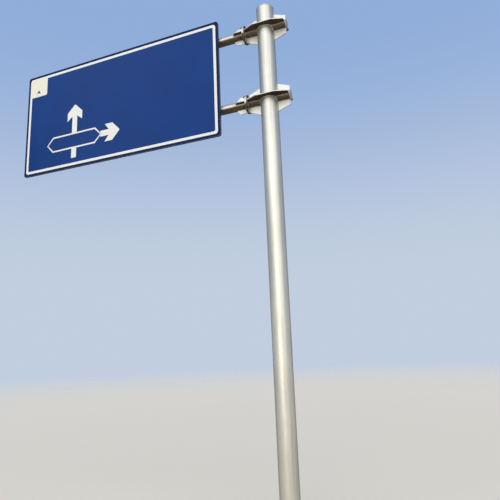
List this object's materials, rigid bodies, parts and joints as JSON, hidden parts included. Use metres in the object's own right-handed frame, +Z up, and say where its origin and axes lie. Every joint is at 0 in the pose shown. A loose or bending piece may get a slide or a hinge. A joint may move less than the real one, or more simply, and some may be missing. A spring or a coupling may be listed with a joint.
{
  "type": "cantilever sign gantry",
  "caption": "Galvanised steel column with pipe arms on bolted flange joints that carry one large rectangular sign board over a road.",
  "frame": {"origin": "centre of the base plate's underside, on the ground", "axes": "+Z up along the column; the arms reach towards -X; the sign board's face looks towards -Y"},
  "size_m": [5.126, 0.6, 7.54],
  "materials": {
    "galvanised_steel": "hot-dip galvanised, satin with faint spangle",
    "zinc_fasteners": "weathered zinc-coated",
    "black_fasteners": "black-oxide high-strength bolts, dull",
    "aluminium": "mill finish, satin",
    "blue_sheeting": "aluminium sheet faced with blue reflective sheeting",
    "white_sheeting": "white reflective sheeting"
  },
  "bodies": {
    "root": {"base_plate": "galvanised_steel", "base_ribs": "galvanised_steel", "column": "galvanised_steel", "column_cap": "galvanised_steel", "lower_stub": "galvanised_steel", "lower_column_flange": "galvanised_steel", "lower_side_plates": "galvanised_steel", "lower_web_plates": "galvanised_steel", "lower_stub_cap": "galvanised_steel", "lower_flange_bolts": "black_fasteners", "upper_stub": "galvanised_steel", "upper_column_flange": "galvanised_steel", "upper_side_plates": "galvanised_steel", "upper_web_plates": "galvanised_steel", "upper_stub_cap": "galvanised_steel", "upper_flange_bolts": "black_fasteners", "lower_arm": "galvanised_steel", "lower_arm_flange": "galvanised_steel", "lower_arm_ribs": "galvanised_steel", "lower_arm_cap": "galvanised_steel", "upper_arm": "galvanised_steel", "upper_arm_flange": "galvanised_steel", "upper_arm_ribs": "galvanised_steel", "upper_arm_cap": "galvanised_steel", "board_sheet": "blue_sheeting", "board_top_edge": "blue_sheeting", "board_bottom_edge": "blue_sheeting", "board_near_edge": "blue_sheeting", "board_far_edge": "blue_sheeting", "rear_channels": "aluminium", "lower_saddles": "zinc_fasteners", "upper_saddles": "zinc_fasteners", "lower_hoops": "zinc_fasteners", "upper_hoops": "zinc_fasteners", "lower_hoop_bolts": "zinc_fasteners", "upper_hoop_bolts": "zinc_fasteners"}
  },
  "joints": []
}
